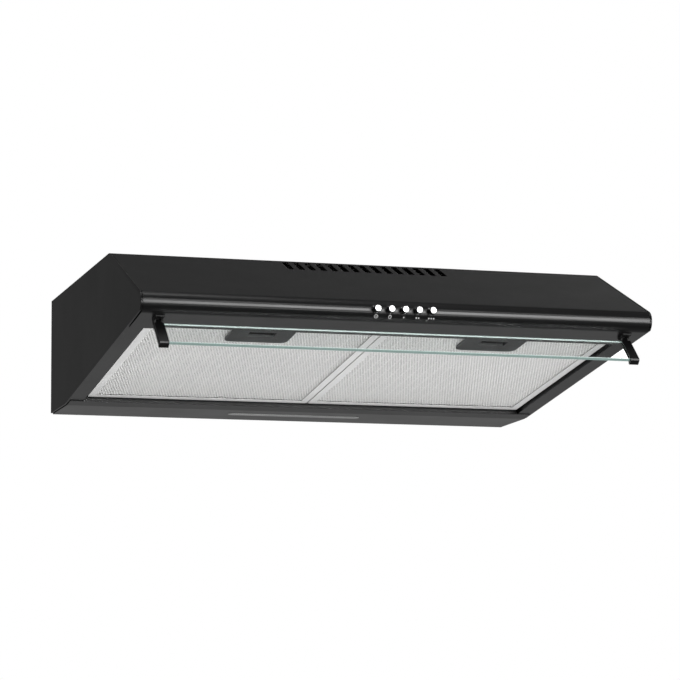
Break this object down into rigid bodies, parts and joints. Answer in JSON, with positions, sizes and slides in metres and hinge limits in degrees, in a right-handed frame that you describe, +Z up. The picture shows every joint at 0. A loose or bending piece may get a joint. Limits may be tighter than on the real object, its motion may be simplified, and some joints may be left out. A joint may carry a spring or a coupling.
{
  "type": "under cabinet range hood",
  "caption": "Slim under-cabinet range hood: sloped black steel body with a rounded nose, push buttons, vents, a tilting glass visor, mesh grease filters, a lamp strip and a top duct outlet.",
  "frame": {"origin": "on the top face that screws to the cabinet, midway between the two rear fixing holes, 30 mm in front of the wall face", "axes": "+X along the hood's width to its right as seen from the front, +Y towards the wall, +Z up towards the cabinet"},
  "size_m": [0.6, 0.5095, 0.1678],
  "materials": {
    "black_paint": "fine black powder coat, semi-matt",
    "zinc_steel": "zinc-plated steel",
    "aluminium": "natural rolled aluminium",
    "grey_plastic": "dark grey moulded plastic, lightly textured",
    "black_plastic": "gloss black moulded plastic",
    "chrome": "bright chrome-plated plastic",
    "clear_glass": "clear tempered glass with a faint green edge",
    "lens": "white diffusing lens",
    "white_plastic": "off-white moulded plastic",
    "board": "white lamp board"
  },
  "bodies": {
    "hood_body": {"top_rear_panel": "black_paint", "left_side_panel": "black_paint", "right_side_panel": "black_paint", "front_panel": "black_paint", "lamp_panel": "black_paint", "outlet_collar": "black_plastic", "collar_ring": "black_plastic", "flap_pin": "zinc_steel", "blower_housing_left": "white_plastic", "blower_housing_right": "white_plastic", "motor_bracket": "zinc_steel", "motor_can": "zinc_steel", "run_capacitor": "white_plastic", "collar_screw_1": "zinc_steel", "collar_screw_2": "zinc_steel", "collar_screw_3": "zinc_steel", "collar_screw_4": "zinc_steel", "terminal_box": "grey_plastic", "terminal_box_lid": "grey_plastic", "cable_grommet": "black_plastic", "switch_body": "white_plastic", "switch_bracket": "zinc_steel", "lamp_lens": "lens", "lamp_housing": "white_plastic", "led_board": "board", "led_driver": "white_plastic", "left_visor_bracket": "black_plastic", "left_visor_pin": "zinc_steel", "right_visor_bracket": "black_plastic", "right_visor_pin": "zinc_steel"},
    "impeller": {"impeller": "grey_plastic", "motor_shaft": "zinc_steel"},
    "front_flap": {"front_flap": "black_plastic"},
    "rear_flap": {"rear_flap": "black_plastic"},
    "visor": {"left_visor_arm": "black_plastic", "right_visor_arm": "black_plastic", "visor_glass": "clear_glass"},
    "button_lamp": {"button_lamp": "chrome"},
    "button_stop": {"button_stop": "chrome"},
    "button_speed_1": {"button_speed_1": "chrome"},
    "button_speed_2": {"button_speed_2": "chrome"},
    "button_speed_3": {"button_speed_3": "chrome"},
    "left_filter": {"left_filter_frame": "aluminium", "left_filter_mesh": "aluminium", "left_filter_core": "aluminium", "left_filter_back_mesh": "aluminium", "left_filter_handle": "grey_plastic"},
    "left_latch": {"left_filter_latch": "grey_plastic"},
    "right_filter": {"right_filter_frame": "aluminium", "right_filter_mesh": "aluminium", "right_filter_core": "aluminium", "right_filter_back_mesh": "aluminium", "right_filter_handle": "grey_plastic"},
    "right_latch": {"right_filter_latch": "grey_plastic"}
  },
  "joints": [
    {"name": "impeller_spin", "type": "hinge", "parent": "hood_body", "child": "impeller", "pos_m": [0, -0.07, -0.0596], "axis": [1, 0, 0], "continuous": true},
    {"name": "front_flap_hinge", "type": "hinge", "parent": "hood_body", "child": "front_flap", "pos_m": [0, -0.085, 0.006], "axis": [-1, 0, 0], "range_deg": [0, 75]},
    {"name": "rear_flap_hinge", "type": "hinge", "parent": "hood_body", "child": "rear_flap", "pos_m": [0, -0.085, 0.006], "axis": [1, 0, 0], "range_deg": [0, 75]},
    {"name": "visor_hinge", "type": "hinge", "parent": "hood_body", "child": "visor", "pos_m": [0, -0.44463, -0.10085], "axis": [1, 0, 0], "range_deg": [-35, 46]},
    {"name": "button_lamp_push", "type": "slide", "parent": "hood_body", "child": "button_lamp", "axis": [0, 1, 0], "range_m": [0, 0.003], "stiffness_N_per_m": 500, "springref_m": -0.001},
    {"name": "button_stop_push", "type": "slide", "parent": "hood_body", "child": "button_stop", "axis": [0, 1, 0], "range_m": [0, 0.003], "stiffness_N_per_m": 500, "springref_m": -0.001},
    {"name": "button_speed_1_push", "type": "slide", "parent": "hood_body", "child": "button_speed_1", "axis": [0, 1, 0], "range_m": [0, 0.003], "stiffness_N_per_m": 500, "springref_m": -0.001},
    {"name": "button_speed_2_push", "type": "slide", "parent": "hood_body", "child": "button_speed_2", "axis": [0, 1, 0], "range_m": [0, 0.003], "stiffness_N_per_m": 500, "springref_m": -0.001},
    {"name": "button_speed_3_push", "type": "slide", "parent": "hood_body", "child": "button_speed_3", "axis": [0, 1, 0], "range_m": [0, 0.003], "stiffness_N_per_m": 500, "springref_m": -0.001},
    {"name": "left_filter_hinge", "type": "hinge", "parent": "hood_body", "child": "left_filter", "pos_m": [-0.13887, -0.07715, -0.1336], "axis": [1, 0, 0], "range_deg": [0, 60]},
    {"name": "left_latch_slide", "type": "slide", "parent": "left_filter", "child": "left_latch", "axis": [0, 0.9926, -0.1217], "range_m": [0, 0.004], "stiffness_N_per_m": 400, "springref_m": -0.001},
    {"name": "right_filter_hinge", "type": "hinge", "parent": "hood_body", "child": "right_filter", "pos_m": [0.13887, -0.07715, -0.1336], "axis": [1, 0, 0], "range_deg": [0, 60]},
    {"name": "right_latch_slide", "type": "slide", "parent": "right_filter", "child": "right_latch", "axis": [0, 0.9926, -0.1217], "range_m": [0, 0.004], "stiffness_N_per_m": 400, "springref_m": -0.001}
  ]
}
